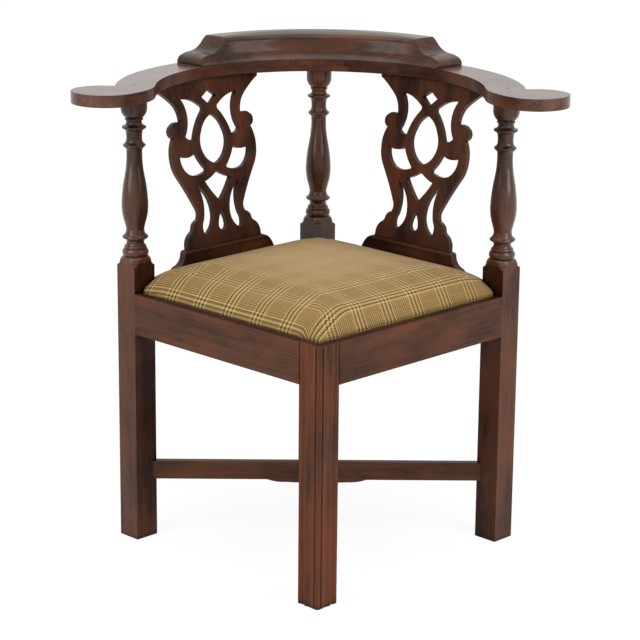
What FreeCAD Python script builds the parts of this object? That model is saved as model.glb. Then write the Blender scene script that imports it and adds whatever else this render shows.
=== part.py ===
import FreeCAD, Part
import Sketcher
import math
import os

# A corner chair: a square seat frame set diagonally, with one corner to the front.
# Z is up, X is to the right, Y is to the back, and the origin is on the floor under
# the centre of the square of legs. Lengths are millimetres, angles are degrees.

Vector = FreeCAD.Vector
Rotation = FreeCAD.Rotation
UP = Vector(0, 0, 1)

doc = FreeCAD.newDocument("corner_chair")

DIMENSIONS = {
    "outer_square": 450.0,
    "leg_square": 42.0,
    "leg_edge_round": 1.2,
    "leg_bead_radius": 4.5,
    "rail_top": 411.0,
    "rail_depth": 66.0,
    "rail_thickness": 28.0,
    "lip_width": 12.0,
    "rebate_depth": 12.0,
    "tenon_thickness": 10.0,
    "tenon_depth": 42.0,
    "tenon_length": 20.0,
    "mortise_length": 21.0,
    "block_top": 452.0,
    "arm_underside": 718.0,
    "arm_thickness": 19.0,
    "arm_inner_radius": 255.0,
    "arm_outer_radius": 314.0,
    "arm_lap_reach": 48.0,
    "crest_height": 42.5,
    "crest_half_angle": 47.3,
    "column_pin_radius": 9.0,
    "side_pin_length": 10.0,
    "back_pin_length": 14.0,
    "shoe_thickness": 15.0,
    "shoe_height": 40.0,
    "splat_thickness": 9.0,
    "splat_lean": 9.2,
    "splat_foot_distance": 215.0,
    "tongue_thickness": 5.0,
    "foot_tongue_depth": 16.0,
    "head_tongue_depth": 8.0,
    "stretcher_underside": 96.5,
    "stretcher_depth": 30.0,
    "stretcher_thickness": 12.0,
    "stretcher_swelling": 5.6,
    "stretcher_pin_thickness": 6.0,
    "stretcher_pin_depth": 18.0,
    "stretcher_pin_length": 21.2,
    "corner_block_top": 396.0,
    "corner_block_depth": 34.0,
    "seat_underside": 399.3,
    "seat_half": 209.5,
    "seat_notch": 182.0,
    "cover_thickness": 2.0,
    "hem_thickness": 0.8,
    "hem_width": 47.0,
    "seat_rail_width": 55.0,
    "seat_rail_depth": 14.0,
    "seat_edge_height": 417.0,
    "seat_crown_height": 453.0,
    "webbing_width": 50.0,
    "webbing_thickness": 1.2,
    "dust_cloth_half": 180.0,
    "dust_cloth_thickness": 0.5,
    "tack_distance": 175.0,
    "tack_shank_radius": 0.7,
    "screw_shank_radius": 2.0,
    "screw_clearance": 0.05,
}

sheet = doc.addObject("Spreadsheet::Sheet", "Dimensions")
for row, (alias, number) in enumerate(DIMENSIONS.items(), start=1):
    sheet.set(f"A{row}", alias)
    sheet.set(f"B{row}", str(number))
    sheet.setAlias(f"B{row}", alias)
doc.recompute()


class Size:
    """A length or an angle, with the sheet formula that drives it."""

    def __init__(self, number, formula):
        self.number = number
        self.formula = formula

    def __add__(self, other):
        return Size(self.number + plain(other), f"({self.formula} + {written(other)})")

    def __radd__(self, other):
        return Size(plain(other) + self.number, f"({written(other)} + {self.formula})")

    def __sub__(self, other):
        return Size(self.number - plain(other), f"({self.formula} - {written(other)})")

    def __rsub__(self, other):
        return Size(plain(other) - self.number, f"({written(other)} - {self.formula})")

    def __mul__(self, other):
        return Size(self.number * plain(other), f"({self.formula} * {written(other)})")

    __rmul__ = __mul__

    def __neg__(self):
        return self * -1

    def __float__(self):
        return float(self.number)


def plain(size):
    return size.number if isinstance(size, Size) else float(size)


def written(size):
    return size.formula if isinstance(size, Size) else f"({float(size):.6f})"


def cell(alias):
    return Size(float(sheet.get(alias)), f"Dimensions.{alias}")


outer_square = cell("outer_square")
leg_square = cell("leg_square")
rail_top = cell("rail_top")
rail_depth = cell("rail_depth")
rail_thickness = cell("rail_thickness")
rebate_depth = cell("rebate_depth")
block_top = cell("block_top")
arm_underside = cell("arm_underside")
arm_thickness = cell("arm_thickness")
screw_shank = cell("screw_shank_radius")
screw_hole = screw_shank + cell("screw_clearance")

DIAGONAL = math.sqrt(2)
half_square = outer_square * 0.5
half_leg = leg_square * 0.5
leg_centre = half_square - half_leg
leg_radius = leg_centre * DIAGONAL
rail_underside = rail_top - rail_depth
rail_inner = half_square - rail_thickness
bead_radius = cell("leg_bead_radius")
outer_reach = half_square * DIAGONAL - bead_radius * (DIAGONAL - 1)
lip_inner = half_square - cell("lip_width")
tenon_outer = half_square - 9
tenon_inner = tenon_outer - cell("tenon_thickness")
tenon_underside = rail_underside + 6
tenon_top = tenon_underside + cell("tenon_depth")

# Bearings of the corners, seen from the centre, and of the four sides' outward normals.
CORNERS = {"front": 270, "left": 180, "right": 0, "back": 90}
SIDES = {"front_left": 225, "front_right": 315, "back_left": 135, "back_right": 45}


def bind(item, name, size):
    """Give a property its size, through the sheet where the size has a formula."""
    if isinstance(size, Size):
        item.setExpression(name, size.formula)
    else:
        setattr(item, name, size)


def place(item, turn, lift=0, along=0, bearing=0):
    """Turn a piece about Z, and move it along a bearing and up."""
    east = round(math.cos(math.radians(bearing)), 9)
    north = round(math.sin(math.radians(bearing)), 9)
    centre = Vector(plain(along) * east, plain(along) * north, plain(lift))
    item.Placement = FreeCAD.Placement(centre, Rotation(UP, turn))
    if isinstance(along, Size):
        item.setExpression("Placement.Base.x", (along * east).formula)
        item.setExpression("Placement.Base.y", (along * north).formula)
    if isinstance(lift, Size):
        item.setExpression("Placement.Base.z", lift.formula)


def make_body(label):
    body = doc.addObject("PartDesign::Body", label)
    body.Label = label
    return body


def reflected(path, flip):
    """The same path with every point flipped, drawn the other way round."""
    ends = [step[-2:] for step in path]
    back = [flip(*ends[-1])]
    for step, end in zip(reversed(path[1:]), reversed(ends[:-1])):
        middle = flip(*step[:2]) if len(step) == 4 else ()
        back.append(middle + flip(*end))
    return back


def mirrored(path):
    return reflected(path, lambda x, y: (-x, y))


def draw(sketch, path):
    """Add one closed outline. A step holds its end, with an arc's middle point before it."""
    if path[0][0] == "circle":
        draw_circle(sketch, *path[0][1:])
        return
    starts = [path[0]] + [step[-2:] for step in path[1:]]
    steps = list(path[1:])
    first, last = starts[0], starts[-1]
    if math.dist([plain(n) for n in first], [plain(n) for n in last]) > 1e-6:
        steps.append(tuple(first))
    else:
        starts.pop()
    curves = []
    for start, step in zip(starts, steps):
        points = [start] + [step[i:i + 2] for i in range(0, len(step), 2)]
        points = [Vector(plain(x), plain(y), 0) for x, y in points]
        curves.append(Part.Arc(*points) if len(points) == 3 else Part.LineSegment(*points))
    numbers = sketch.addGeometry(curves, False)
    if not any(isinstance(n, Size) for step in path for n in step):
        sketch.addConstraint([Sketcher.Constraint("Block", number) for number in numbers])
        return
    bind_outline(sketch, numbers, starts, steps)


def bind_outline(sketch, numbers, starts, steps):
    """Tie each corner of an outline to the origin, and each arc to its radius."""
    heads = []
    for number, start in zip(numbers, starts):
        corner = Vector(plain(start[0]), plain(start[1]), 0)
        gap = [(sketch.getPoint(number, end) - corner).Length for end in (1, 2)]
        heads.append(1 if gap[0] <= gap[1] else 2)
    rules = []
    formulas = {}
    for place_in_path, number in enumerate(numbers):
        after = (place_in_path + 1) % len(numbers)
        tail = 3 - heads[place_in_path]
        rules.append(Sketcher.Constraint("Coincident", number, tail, numbers[after], heads[after]))
        for kind, size in zip(("DistanceX", "DistanceY"), starts[place_in_path]):
            if isinstance(size, Size):
                formulas[len(rules)] = size.formula
            rules.append(Sketcher.Constraint(kind, -1, 1, number, heads[place_in_path], plain(size)))
        if len(steps[place_in_path]) == 4:
            radius = sketch.Geometry[number].Radius
            rules.append(Sketcher.Constraint("Radius", number, radius))
    names = sketch.addConstraint(rules)
    for position, formula in formulas.items():
        sketch.setExpression(f"Constraints[{names[position]}]", formula)


def draw_circle(sketch, x, y, radius):
    circle = Part.Circle(Vector(plain(x), plain(y), 0), UP, plain(radius))
    number = sketch.addGeometry([circle], False)[0]
    rules = [Sketcher.Constraint("DistanceX", -1, 1, number, 3, plain(x)),
             Sketcher.Constraint("DistanceY", -1, 1, number, 3, plain(y)),
             Sketcher.Constraint("Radius", number, plain(radius))]
    names = sketch.addConstraint(rules)
    for name, size in zip(names, (x, y, radius)):
        if isinstance(size, Size):
            sketch.setExpression(f"Constraints[{name}]", size.formula)


def make_sketch(body, plane, *paths, offset=0, turn=0):
    """A sketch on one of the body's origin planes, lifted off it by offset."""
    sketch = body.newObject("Sketcher::SketchObject", "outline")
    support = [item for item in body.Origin.OriginFeatures if item.Role == plane][0]
    sketch.AttachmentSupport = [(support, "")]
    sketch.MapMode = "FlatFace"
    upright = Vector(0, 1, 0)
    sketch.AttachmentOffset = FreeCAD.Placement(Vector(0, 0, plain(offset)), Rotation(upright, turn))
    if isinstance(offset, Size):
        sketch.setExpression("AttachmentOffset.Base.z", offset.formula)
    for path in paths:
        draw(sketch, path)
    return sketch


def add(body, kind, sketch, length, symmetric=False, backwards=False):
    """Pad or pocket a sketch, and make sure that the body's volume has changed."""
    before = body.Shape.Volume if body.Tip else 0
    item = body.newObject("PartDesign::" + kind, kind.lower())
    item.Profile = sketch
    bind(item, "Length", length)
    if symmetric:
        item.SideType = "Symmetric"
    item.Reversed = backwards
    doc.recompute()
    change = body.Shape.Volume - before
    if (change > 1) != (kind == "Pad") or abs(change) < 1:
        raise ValueError(f"{body.Label}: {item.Name} changed the volume by {change:.1f}")
    return item


def turn_away(body, sketch, angle=360):
    """Turn a sketch about the vertical axis of the body's front plane, as a groove."""
    before = body.Shape.Volume
    item = body.newObject("PartDesign::Groove", "groove")
    item.Profile = sketch
    item.ReferenceAxis = (sketch, ["V_Axis"])
    item.Angle = angle
    doc.recompute()
    if body.Shape.Volume > before - 1:
        raise ValueError(f"{body.Label}: the groove cut nothing")


def rectangle(x_low, y_low, x_high, y_high):
    return [(x_low, y_low), (x_high, y_low), (x_high, y_high), (x_low, y_high)]


# Legs. Each is drawn with its outer corner towards plus X and plus Y, its axis at the
# origin, and then turned so that this corner points away from the middle of the chair.

def column_outline():
    """The space outside the turned column, as radius and height."""
    corner = half_leg * DIAGONAL
    # Radius and height above the square block, with an arc's middle point before its end.
    turning = [
        (corner, 0), (26.4, 1.7, 24.9, 4.6), (23.9, 9.6, 20.7, 13.9), (18.8, 15.3),
        (20.8, 20.9, 18.7, 26.4), (17.2, 27.0), (17.5, 29.8, 15.7, 32.2), (14.5, 33.8, 13.9, 37.4),
        (15.9, 41.0, 19.5, 43.3), (20.4, 45.4, 19.3, 47.3), (16.6, 49.6, 14.7, 54.6),
        (14.1, 57.0), (15.8, 65.0, 18.3, 74.0), (20.5, 86.5, 20.9, 101.0),
        (19.0, 123.0, 15.6, 143.0), (13.0, 161.0, 12.4, 182.0), (13.8, 186.3, 16.2, 188.6),
        (16.2, 189.5), (17.8, 191.2, 16.6, 192.9), (13.9, 195.6, 12.6, 199.4),
        (12.3, 205.6, 12.9, 211.8), (13.6, 214.2, 15.1, 215.9), (15.1, 216.8), (17.4, 217.4),
        (19.1, 219.7, 17.6, 221.6), (14.2, 223.0, 12.4, 226.4), (12.3, 230.2),
        (14.4, 232.2, 13.4, 234.3), (18.0, 239.6, 20.8, 250.5),
    ]
    path = []
    for step in turning:
        path.append(tuple(n + block_top if index % 2 else n for index, n in enumerate(step)))
    pin_top = arm_underside + 20
    outside = corner + 6
    pin = cell("column_pin_radius")
    return path + [(20.8, arm_underside), (pin, arm_underside), (pin, pin_top),
                   (outside, pin_top), (outside, block_top)]


def cut_mortises(body):
    """Two rail mortises, which stop short of each other, and one for a stretcher's pin."""
    depth = cell("mortise_length")
    low, high = tenon_inner - leg_centre, tenon_outer - leg_centre
    mortise = rectangle(low, tenon_underside, high, tenon_top)
    add(body, "Pocket", make_sketch(body, "YZ_Plane", mortise), depth)
    add(body, "Pocket", make_sketch(body, "XZ_Plane", mortise), depth, backwards=True)
    half_pin = plain(cell("stretcher_pin_thickness")) / 2
    corner = plain(half_leg) * DIAGONAL
    slot = []
    for reach, side in ((corner + 1, 1), (corner + 1, -1), (corner - 22, -1), (corner - 22, 1)):
        slot.append(((-reach - side * half_pin) / DIAGONAL, (-reach + side * half_pin) / DIAGONAL))
    pin_top = cell("stretcher_underside") + 6 + cell("stretcher_pin_depth")
    add(body, "Pocket", make_sketch(body, "XY_Plane", slot, offset=pin_top), cell("stretcher_pin_depth"))


def make_turned_leg(corner):
    body = make_body(corner + "_leg")
    edge = bead_radius if corner == "back" else cell("leg_edge_round")
    tangent = half_leg - edge
    middle = tangent + edge * (DIAGONAL / 2)
    square = [(-half_leg, -half_leg), (half_leg, -half_leg), (half_leg, tangent),
              (middle, middle, tangent, half_leg), (-half_leg, half_leg)]
    pin_length = cell("back_pin_length" if corner == "back" else "side_pin_length")
    add(body, "Pad", make_sketch(body, "XY_Plane", square), arm_underside + pin_length)
    turn_away(body, make_sketch(body, "XZ_Plane", column_outline()))
    cut_mortises(body)
    if corner != "back":
        hole = [("circle", 0, 0, screw_hole)]
        top = arm_underside + pin_length
        add(body, "Pocket", make_sketch(body, "XY_Plane", hole, offset=top), 25)
    place(body, CORNERS[corner] - 45, along=leg_radius, bearing=CORNERS[corner])


def moulded_section():
    """Plan of the front leg: two moulded outer faces that meet in a round bead."""
    face = plain(half_leg)
    bead = plain(bead_radius)
    centre = face - bead
    tip = centre + bead / DIAGONAL
    half = [
        (tip, tip), (centre + bead * 0.17, centre + bead * 0.985, face - 6.6, face - 0.53),
        (face - 7.2, face - 1.9), (face - 8.8, face), (face - 10.5, face),
        (face - 17.5, face - 1.1, face - 24.6, face), (face - 26.8, face),
        (face - 31.8, face - 1.9, face - 36.6, face - 0.6), (-face, face - 0.8),
    ]
    return half + [(-face, -face)] + reflected(half, lambda x, y: (y, x))


def make_front_leg():
    body = make_body("front_leg")
    add(body, "Pad", make_sketch(body, "XY_Plane", moulded_section()), rail_top)
    cut_mortises(body)
    lip = lip_inner - leg_centre
    rebate = rectangle(-half_leg - 1, -half_leg - 1, lip, lip)
    add(body, "Pocket", make_sketch(body, "XY_Plane", rebate, offset=rail_top), rebate_depth)
    eased = [(half_leg - 2.2, rail_top), (half_leg - 0.6, rail_top - 1.6, half_leg, rail_top - 5),
             (half_leg + 1, rail_top - 5), (half_leg + 1, rail_top + 1), (half_leg - 2.2, rail_top + 1)]
    for plane in ("XZ_Plane", "YZ_Plane"):
        add(body, "Pocket", make_sketch(body, plane, eased), 60, symmetric=True)
    place(body, CORNERS["front"] - 45, along=leg_radius, bearing=CORNERS["front"])


# Sides. Each rail, shoe and splat is drawn for a side whose outward normal is plus Y,
# with the middle of the chair at the origin, and then turned to its own side.

def make_rail(side):
    body = make_body(side + "_rail")
    section = [(rail_inner, rail_underside), (half_square, rail_underside), (half_square, rail_top),
               (lip_inner, rail_top), (lip_inner, rail_top - rebate_depth),
               (rail_inner, rail_top - rebate_depth)]
    length = outer_square - leg_square * 2
    add(body, "Pad", make_sketch(body, "YZ_Plane", section), length, symmetric=True)
    tenon = rectangle(tenon_inner, tenon_underside, tenon_outer, tenon_top)
    tenon_span = length + cell("tenon_length") * 2
    add(body, "Pad", make_sketch(body, "YZ_Plane", tenon), tenon_span, symmetric=True)
    holes = [[("circle", end * BLOCK_SCREW_ALONG, BLOCK_SCREW_HEIGHT, screw_hole)] for end in (-1, 1)]
    add(body, "Pocket", make_sketch(body, "XZ_Plane", *holes, offset=-rail_inner), 13)
    place(body, SIDES[side] - 90)


def make_shoe(side):
    """A moulded block under a splat. It reaches a little further towards the back leg."""
    body = make_body(side + "_shoe")
    top = rail_top + cell("shoe_height")
    leg_end = [(0, top), (85, top), (89.3, top - 1.4, 91.2, top - 5.6),
               (95.2, top - 17, 105.5, top - 23.6), (113.8, top - 30, 118, rail_top), (0, rail_top)]
    back_end = [(0, top), (87, top), (94.6, top - 4.4, 100.6, top - 9.8),
                (104.4, top - 15.4, 107.4, top - 21.5), (111.4, top - 30, 119, rail_top), (0, rail_top)]
    outline = back_end + mirrored(leg_end)[1:]
    if side == "right":
        outline = mirrored(outline)
    thickness = cell("shoe_thickness")
    add(body, "Pad", make_sketch(body, "XZ_Plane", outline, offset=-half_square), thickness)
    face = half_square - thickness
    moulding = [(face - 1, top + 1), (face + 5.2, top + 1), (face + 5.2, top),
                (face + 2.1, top - 1.0, face + 0.3, top - 4.4), (face + 1.5, top - 5.4),
                (face + 1.6, top - 15.5, face + 0.6, top - 26.4), (face, top - 27.6),
                (face - 1, top - 27.6)]
    add(body, "Pocket", make_sketch(body, "YZ_Plane", moulding), 260, symmetric=True)
    groove = rectangle(-FOOT_TONGUE_HALF, FOOT_TONGUE_FRONT, FOOT_TONGUE_HALF,
                       cell("tongue_thickness") + FOOT_TONGUE_FRONT)
    add(body, "Pocket", make_sketch(body, "XY_Plane", groove, offset=top), cell("foot_tongue_depth"))
    place(body, SIDES["back_" + side] - 90)


def splat_outline():
    """Right half of the splat's edge, downwards, as distance from its middle and height."""
    return [
        (0, 282), (112, 282), (112, 266), (95, 255.2, 80, 243), (69, 228.5, 65.5, 209.8),
        (76.5, 211.4, 86.2, 206.6), (92.2, 197, 84.6, 186), (91.1, 170.5, 92.7, 153.5),
        (90.2, 136.5, 82.6, 121), (66.8, 95.4, 50.4, 64.5), (49.6, 57, 52.6, 49.6),
        (57.6, 47.4, 61.4, 44.4), (63.9, 40, 65.2, 34.8), (68.6, 31.4), (77.2, 24.2, 82, 8.6),
        (83, 0), (0, 0),
    ]


def splat_piercings():
    """Openings of the splat: those on its middle line, and right ones that have a mirror."""
    middle = [
        [(0, 256), (15.8, 244.6), (0, 230.6)],
        [(0, 215.6), (15.2, 206, 25, 190), (29.6, 173, 25.4, 155.4), (15.2, 142.4, 0, 135.2)],
        [(0, 123.4), (12.6, 115.4, 28.4, 109), (15.6, 90.6, 0, 73.4)],
        [(0, 57), (6, 47.2, 8.8, 36.4), (7, 28.6, 0, 25.6)],
    ]
    sides = [
        [(61, 246.2), (37.6, 242, 19, 231.2), (15, 226.8, 16.2, 222.4), (30.4, 203.6, 40.4, 180),
         (50.4, 179.4, 59.6, 185.8), (51, 212.4, 61, 246.2)],
        [(76.4, 156), (58.4, 152, 41, 158.8), (34, 144.4, 22, 128.6), (22.4, 125.6, 26, 124.4),
         (44, 121, 60, 124.2), (71.4, 135.6, 76.4, 156)],
        [(45, 103), (24.6, 80.4, 18.6, 56), (22.4, 38.4, 33, 26.4), (39.4, 24.6, 43.6, 31),
         (43.9, 38, 40.4, 46.6), (36.8, 69, 45, 103)],
    ]
    holes = [half + mirrored(half)[1:] for half in middle]
    return holes + sides + [mirrored(hole) for hole in sides]


def make_splat(side):
    """A flat board in its own plane, X along it and Y up it, which leans out from its foot."""
    body = make_body(side + "_splat")
    lean = math.radians(plain(cell("splat_lean")))
    foot = plain(cell("splat_foot_distance"))
    foot_height = plain(rail_top + cell("shoe_height")) - 4
    half = splat_outline()
    paths = [half + mirrored(half)[1:]] + splat_piercings()
    thickness = cell("splat_thickness")
    add(body, "Pad", make_sketch(body, "XY_Plane", *paths), thickness, backwards=True)

    def in_plane(distance, height):
        out, up = distance - foot, height - foot_height
        return (out * math.sin(lean) + up * math.cos(lean), up * math.sin(lean) - out * math.cos(lean))

    def upright_box(distances, heights):
        corners = [(distances[0], heights[0]), (distances[1], heights[0]),
                   (distances[1], heights[1]), (distances[0], heights[1])]
        return [in_plane(*corner) for corner in corners]

    shoe_top = plain(rail_top + cell("shoe_height"))
    arm_low = plain(arm_underside)
    tongue = plain(cell("tongue_thickness"))
    above = upright_box((230, 300), (arm_low, arm_low + 30))
    below = upright_box((190, 250), (shoe_top - 30, shoe_top))
    add(body, "Pocket", make_sketch(body, "YZ_Plane", above, below), 260, symmetric=True)
    foot_tongue = upright_box((FOOT_TONGUE_FRONT, FOOT_TONGUE_FRONT + tongue),
                              (shoe_top - plain(cell("foot_tongue_depth")), shoe_top + 1))
    add(body, "Pad", make_sketch(body, "YZ_Plane", foot_tongue), 2 * FOOT_TONGUE_HALF, symmetric=True)
    head_tongue = upright_box((HEAD_TONGUE_FRONT, HEAD_TONGUE_FRONT + tongue),
                              (arm_low - 1, arm_low + plain(cell("head_tongue_depth"))))
    add(body, "Pad", make_sketch(body, "YZ_Plane", head_tongue), 2 * HEAD_TONGUE_HALF, symmetric=True)
    turn = Rotation(UP, SIDES["back_" + side] - 90)
    tilt = Rotation(Vector(1, 0, 0), 90 - math.degrees(lean))
    body.Placement = FreeCAD.Placement(turn.multVec(Vector(0, foot, foot_height)), turn * tilt)


# Arms and crest. Each arm runs from its flat rounded end, over a side column, to a half lap
# over the back column. The left arm is drawn, and the right one is its mirror image.

def arm_outline():
    outer = cell("arm_outer_radius")
    inner = cell("arm_inner_radius")
    reach = plain(cell("arm_lap_reach"))
    outer_end = math.sqrt(plain(outer) ** 2 - reach ** 2)
    inner_end = math.sqrt(plain(inner) ** 2 - reach ** 2)
    slant = math.sin(math.radians(45))
    return [
        (reach, outer_end), (-plain(outer) * slant, plain(outer) * slant, -317.0, -8.5),
        (-332, -6.6, -347, -7.8), (-370.5, -22, -381, -50), (-364.5, -81, -325, -96),
        (-304, -91, -288, -78), (-266, -48, -plain(inner), -10), (-plain(inner), 0),
        (-plain(inner) * slant, plain(inner) * slant, reach, inner_end),
    ]


def make_arm(side):
    body = make_body(side + "_arm")
    sign = -1 if side == "left" else 1
    outline = arm_outline() if side == "left" else mirrored(arm_outline())
    add(body, "Pad", make_sketch(body, "XY_Plane", outline), arm_thickness)
    reach = plain(cell("arm_lap_reach"))
    lap_end = 60 * -sign
    lap = rectangle(min(sign * reach, lap_end), 230, max(sign * reach, lap_end), 330)
    lap_top = arm_thickness if side == "left" else arm_thickness * 0.5
    add(body, "Pocket", make_sketch(body, "XY_Plane", lap, offset=lap_top), arm_thickness * 0.5)

    pin_radius = cell("column_pin_radius") + cell("screw_clearance")
    side_pin = [("circle", leg_radius * sign, 0, pin_radius)]
    pin_top = cell("side_pin_length")
    add(body, "Pocket", make_sketch(body, "XY_Plane", side_pin, offset=pin_top), pin_top)
    back_pin = [("circle", 0, leg_radius, pin_radius)]
    pin_top = cell("back_pin_length")
    add(body, "Pocket", make_sketch(body, "XY_Plane", back_pin, offset=pin_top), pin_top)

    turn = math.radians(SIDES["back_" + side] - 90)
    slot = []
    front, back = HEAD_TONGUE_FRONT, HEAD_TONGUE_FRONT + plain(cell("tongue_thickness"))
    for along, out in ((-HEAD_TONGUE_HALF, front), (HEAD_TONGUE_HALF, front),
                       (HEAD_TONGUE_HALF, back), (-HEAD_TONGUE_HALF, back)):
        slot.append((along * math.cos(turn) - out * math.sin(turn),
                     along * math.sin(turn) + out * math.cos(turn)))
    depth = cell("head_tongue_depth")
    add(body, "Pocket", make_sketch(body, "XY_Plane", slot, offset=depth), depth)

    plug_hole = [("circle", leg_radius * sign, 0, PLUG_RADIUS)]
    add(body, "Pocket", make_sketch(body, "XY_Plane", plug_hole, offset=arm_thickness),
        PLUG_LENGTH + ARM_SCREW_HEAD)
    shank_hole = [("circle", leg_radius * sign, 0, screw_hole)]
    add(body, "Pocket", make_sketch(body, "XY_Plane", shank_hole, offset=arm_thickness), arm_thickness)

    shanks = []
    sinks = []
    for angle in CREST_SCREW_ANGLES:
        x, y = crest_screw_point(sign * angle)
        shanks.append([("circle", x, y, screw_hole)])
        sinks.append([("circle", x, y, CREST_SCREW_HEAD_RADIUS + 0.1)])
    add(body, "Pocket", make_sketch(body, "XY_Plane", *shanks, offset=arm_thickness), arm_thickness)
    add(body, "Pocket", make_sketch(body, "XY_Plane", *sinks, offset=CREST_SCREW_HEAD), CREST_SCREW_HEAD)
    place(body, 0, lift=arm_underside)


def crest_screw_point(angle):
    """Place of a crest screw, at an angle from straight back, in plan."""
    turn = math.radians(angle)
    return CREST_SCREW_RADIUS * math.sin(turn), CREST_SCREW_RADIUS * math.cos(turn)


def make_crest():
    """A moulded section turned through an arc, whose ends are then cut down in an ogee."""
    body = make_body("crest_rail")
    inner = cell("arm_inner_radius")
    outer = outer_reach
    top = cell("crest_height")
    section = [
        (inner, 0), (inner, 1.2), (inner + 5.4, 5.6, inner + 9.8, 12.3),
        (inner + 11.6, 16.5, inner + 12.6, 21), (inner + 13.7, 29.2),
        (inner + 17, 36.05, inner + 23.7, top - 2.95), (inner + 40.5, top - 0.8, outer - 4, top),
        (outer - 1.2, top - 1.2, outer, top - 4), (outer, 0),
    ]
    sketch = make_sketch(body, "YZ_Plane", section)
    item = body.newObject("PartDesign::Revolution", "revolution")
    item.Profile = sketch
    item.ReferenceAxis = (sketch, ["V_Axis"])
    bind(item, "Angle", cell("crest_half_angle") * 2)
    item.Midplane = True
    doc.recompute()

    end_angle = plain(cell("crest_half_angle"))
    for sign in (-1, 1):
        cut = [(0, 3.5), (-3.2, 9, -9.5, 12.7), (-17, 14.9, -27, 16.4), (-42, 21, -51.5, 29.8),
               (-56, 35.2, -61.5, 40.2), (-61.5, 60), (8, 60), (8, 3.5)]
        path = cut if sign == 1 else mirrored(cut)
        sketch = make_sketch(body, "XZ_Plane", path, turn=-sign * end_angle)
        add(body, "Pocket", sketch, 340)
    arched = [(-230, top - 4.1), (0, top, 230, top - 4.1), (230, top + 20), (-230, top + 20)]
    add(body, "Pocket", make_sketch(body, "XZ_Plane", arched), 340)
    holes = []
    for angle in CREST_SCREW_ANGLES:
        for sign in (-1, 1):
            x, y = crest_screw_point(sign * angle)
            holes.append([("circle", x, y, screw_hole)])
    add(body, "Pocket", make_sketch(body, "XY_Plane", *holes), CREST_SCREW_BITE, backwards=True)
    place(body, 0, lift=arm_underside + arm_thickness)


# Stretchers. Each is drawn along X through the middle of the chair.

def make_stretcher(label, turn, lap_low):
    body = make_body(label)
    low = cell("stretcher_underside")
    high = low + cell("stretcher_depth")
    thickness = cell("stretcher_thickness")
    corner = leg_radius - half_leg * DIAGONAL
    tip = corner + thickness * 0.5
    swell = low - cell("stretcher_swelling")
    belly = [(0, high), (tip, high), (tip, low), (80, low), (68, low - 3.3, 52, low - 4.4),
             (0, swell, -52, low - 4.4), (-68, low - 3.3, -80, low), (-tip, low), (-tip, high)]
    add(body, "Pad", make_sketch(body, "XZ_Plane", belly), thickness, symmetric=True)
    notches = []
    for sign in (-1, 1):
        notches.append([(corner * sign, 0), ((corner + 7.5) * sign, -7.5), ((corner + 7.5) * sign, 7.5)])
    add(body, "Pocket", make_sketch(body, "XY_Plane", *notches, offset=high + 1), 60)
    pin_low = low + 6
    pin_half = cell("stretcher_pin_thickness") * 0.5
    pin = rectangle(-pin_half, pin_low, pin_half, pin_low + cell("stretcher_pin_depth"))
    pin_span = (corner + cell("stretcher_pin_length")) * 2
    add(body, "Pad", make_sketch(body, "YZ_Plane", pin), pin_span, symmetric=True)
    half_thickness = thickness * 0.5
    middle = low + 13
    lap = rectangle(-half_thickness, low - 10 if lap_low else middle,
                    half_thickness, middle if lap_low else high + 1)
    add(body, "Pocket", make_sketch(body, "XZ_Plane", lap), thickness + 2, symmetric=True)
    place(body, turn)


# Glue blocks in the corners under the seat, and the screws.

def make_corner_block(corner):
    """Drawn for a corner towards plus X and plus Y, notched round the leg's inner corner."""
    body = make_body(corner + "_corner_block")
    leg_face = half_square - leg_square
    reach = rail_inner - 77
    plan = [(rail_inner, reach), (rail_inner, leg_face), (leg_face, leg_face),
            (leg_face, rail_inner), (reach, rail_inner)]
    low = cell("corner_block_top") - cell("corner_block_depth")
    add(body, "Pad", make_sketch(body, "XY_Plane", plan, offset=low), cell("corner_block_depth"))
    sink = [("circle", BLOCK_SCREW_ALONG, BLOCK_SCREW_HEIGHT, BLOCK_SCREW_SINK_RADIUS)]
    shank = [("circle", BLOCK_SCREW_ALONG, BLOCK_SCREW_HEIGHT, screw_hole)]
    add(body, "Pocket", make_sketch(body, "YZ_Plane", sink, offset=BLOCK_SCREW_SEAT), 20)
    add(body, "Pocket", make_sketch(body, "XZ_Plane", sink, offset=-BLOCK_SCREW_SEAT), 20, backwards=True)
    add(body, "Pocket", make_sketch(body, "YZ_Plane", shank, offset=rail_inner + 1), 20)
    add(body, "Pocket", make_sketch(body, "XZ_Plane", shank, offset=-(rail_inner + 1)), 20, backwards=True)
    place(body, CORNERS[corner] - 45)


def make_group(label, solids):
    """One node that holds several separate solids."""
    item = doc.addObject("Part::Feature", label)
    item.Label = label
    item.Shape = Part.makeCompound(solids) if len(solids) > 1 else solids[0]
    item.Placement = FreeCAD.Placement(Vector(0, 0, 0), Rotation())
    return item


def make_screw(tip, way, length, head_radius, head_length):
    """A slotted cheese-headed wood screw with its point at tip, driven along way."""
    shank_radius = plain(screw_shank)
    way = Vector(way).normalize()
    start = tip - way * length
    shank = Part.makeCylinder(shank_radius, length - 3, start, way)
    point = Part.makeCone(shank_radius, 0.3, 3, tip - way * 3, way)
    head = Part.makeCylinder(head_radius, head_length, start, way)
    slot = Part.makeBox(head_radius * 2 + 2, 0.9, 1.6, Vector(-head_radius - 1, -0.45, -0.8))
    slot.Placement = FreeCAD.Placement(start, Rotation(UP, way)).multiply(slot.Placement)
    return head.fuse([shank, point]).removeSplitter().cut(slot)


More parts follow.
